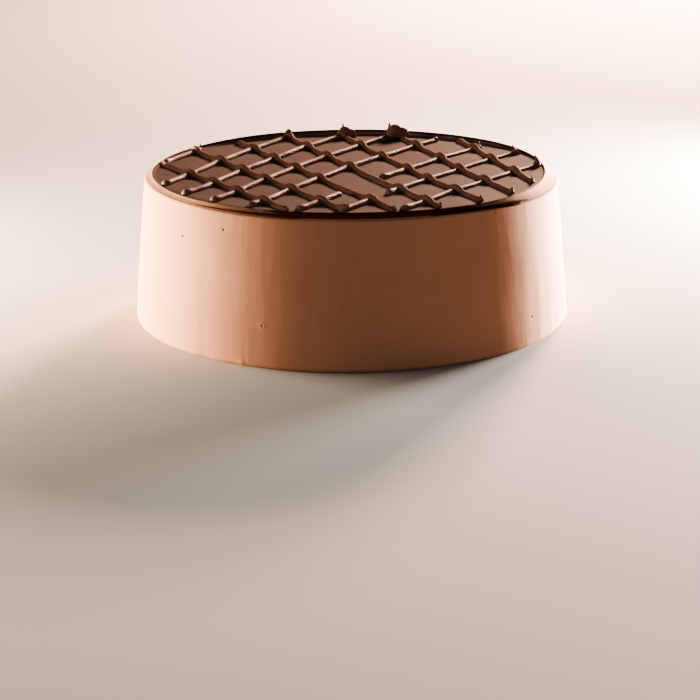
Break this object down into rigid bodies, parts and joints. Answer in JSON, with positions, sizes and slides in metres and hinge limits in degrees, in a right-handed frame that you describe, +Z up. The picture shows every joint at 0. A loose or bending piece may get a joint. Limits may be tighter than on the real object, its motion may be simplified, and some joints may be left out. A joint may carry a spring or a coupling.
{
  "type": "chocolate mousse cake",
  "caption": "Round chocolate mousse cake with smooth tapered sides, a bevelled rim, a dark ganache top and a piped lattice of ganache strands.",
  "frame": {"origin": "centre of the flat round foot", "axes": "+Z up, -Y towards the front, where the ganache spills over the rim, +X to the right of someone facing that front"},
  "size_m": [0.2076, 0.2076, 0.0755],
  "materials": {
    "milk_chocolate_mousse": "smooth satin mousse coat",
    "dark_ganache": "soft-gloss dark ganache"
  },
  "bodies": {
    "root": {"mousse_body": "milk_chocolate_mousse", "ganache_top": "dark_ganache"}
  },
  "joints": []
}
